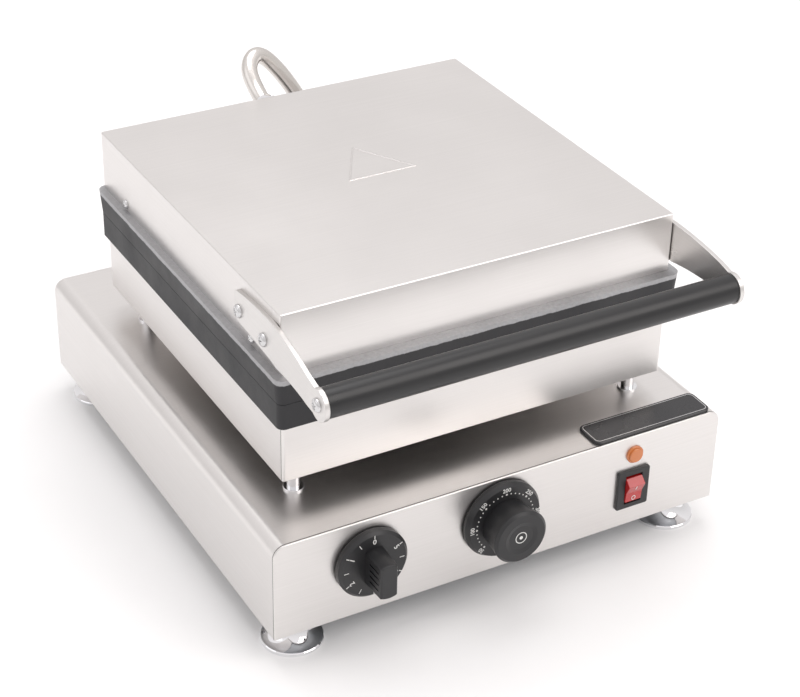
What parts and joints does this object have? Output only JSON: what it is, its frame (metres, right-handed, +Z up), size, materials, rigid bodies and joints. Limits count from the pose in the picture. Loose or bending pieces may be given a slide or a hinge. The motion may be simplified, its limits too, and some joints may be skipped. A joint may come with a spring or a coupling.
{
  "type": "takoyaki maker",
  "caption": "Electric countertop takoyaki iron: hinged lid and casting with ball moulds over a stainless base with timer, thermostat, rocker switch and lamp.",
  "frame": {"origin": "on the floor under the middle of the object's box, without the conduit", "axes": "+Z up, the control panel faces -Y, +X to the right of someone facing the panel"},
  "size_m": [0.34, 0.4206, 0.2517],
  "materials": {
    "stainless_sheet": "brushed",
    "bracket_steel": "satin",
    "steel_hose": "satin",
    "hinge_steel": "satin",
    "screw_steel": "bright",
    "zinc_sheet": "zinc plated",
    "coated_casting": "cast, dark non-stick coating",
    "chrome_plate": "polished",
    "element_sheath": "oxidised",
    "fibre_pad": "ceramic fibre",
    "control_plastic": "moulded",
    "copper_bulb": "drawn copper",
    "black_plastic": "satin",
    "amber_lens": "clear amber",
    "red_rocker": "clear red",
    "badge_black": "gloss",
    "brass_screw": "bright",
    "terminal_ceramic": "glazed",
    "handle_black": "satin black",
    "plug_aluminium": "turned"
  },
  "bodies": {
    "base": {"base_wrap": "stainless_sheet", "front_panel": "stainless_sheet", "rear_panel": "stainless_sheet", "bottom_plate": "zinc_sheet", "bottom_screws": "screw_steel", "foot_front_left": "chrome_plate", "foot_front_right": "chrome_plate", "foot_rear_left": "chrome_plate", "foot_rear_right": "chrome_plate", "foot_nuts": "screw_steel", "posts": "chrome_plate", "post_washers": "chrome_plate", "post_studs": "screw_steel", "post_nuts": "screw_steel", "wiring_duct": "stainless_sheet", "lower_housing": "stainless_sheet", "lower_mould_plate": "coated_casting", "lower_heating_element": "element_sheath", "lower_element_clamp": "zinc_sheet", "lower_plate_studs": "screw_steel", "lower_clamp_nuts": "screw_steel", "lower_insulation": "fibre_pad", "hinge_fixed_leaves": "hinge_steel", "hinge_pins": "chrome_plate", "hinge_screws": "screw_steel", "base_gland": "chrome_plate", "timer_body": "control_plastic", "thermostat_body": "control_plastic", "sensor_bulb": "copper_bulb", "switch_body": "black_plastic", "lamp_lens": "amber_lens", "lamp_body": "control_plastic", "badge": "badge_black", "inlet_gland": "black_plastic", "earth_screw": "brass_screw", "terminal_block": "terminal_ceramic", "conduit": "steel_hose"},
    "lid": {"upper_mould_plate": "coated_casting", "upper_heating_element": "element_sheath", "upper_element_clamp": "zinc_sheet", "upper_plate_studs": "screw_steel", "upper_clamp_nuts": "screw_steel", "upper_insulation": "fibre_pad", "cover": "stainless_sheet", "cover_screws": "screw_steel", "handle_bracket_left": "bracket_steel", "handle_bracket_right": "bracket_steel", "bracket_screws": "screw_steel", "bracket_nuts": "screw_steel", "handle_tube": "handle_black", "handle_plugs": "plug_aluminium", "handle_screws": "screw_steel", "hinge_lid_leaves": "hinge_steel", "hinge_lid_screws": "screw_steel", "lid_gland": "chrome_plate"},
    "timer_dial": {"timer_knob": "black_plastic", "timer_shaft": "screw_steel"},
    "thermostat_dial": {"thermostat_knob": "black_plastic", "thermostat_shaft": "screw_steel"},
    "rocker": {"switch_rocker": "red_rocker"}
  },
  "joints": [
    {"name": "lid_hinge", "type": "hinge", "parent": "base", "child": "lid", "pos_m": [0, 0.1603, 0.17205], "axis": [-1, 0, 0], "range_deg": [0, 100], "deforming": ["conduit"]},
    {"name": "timer_turn", "type": "hinge", "parent": "base", "child": "timer_dial", "pos_m": [-0.1026, -0.1777, 0.062], "axis": [0, 1, 0], "range_deg": [0, 300]},
    {"name": "thermostat_turn", "type": "hinge", "parent": "base", "child": "thermostat_dial", "pos_m": [-0.0054, -0.1777, 0.063], "axis": [0, 1, 0], "range_deg": [-90, 150]},
    {"name": "rocker_tilt", "type": "hinge", "parent": "base", "child": "rocker", "pos_m": [0.1003, -0.1745, 0.0518], "axis": [-1, 0, 0], "range_deg": [0, 30]}
  ]
}
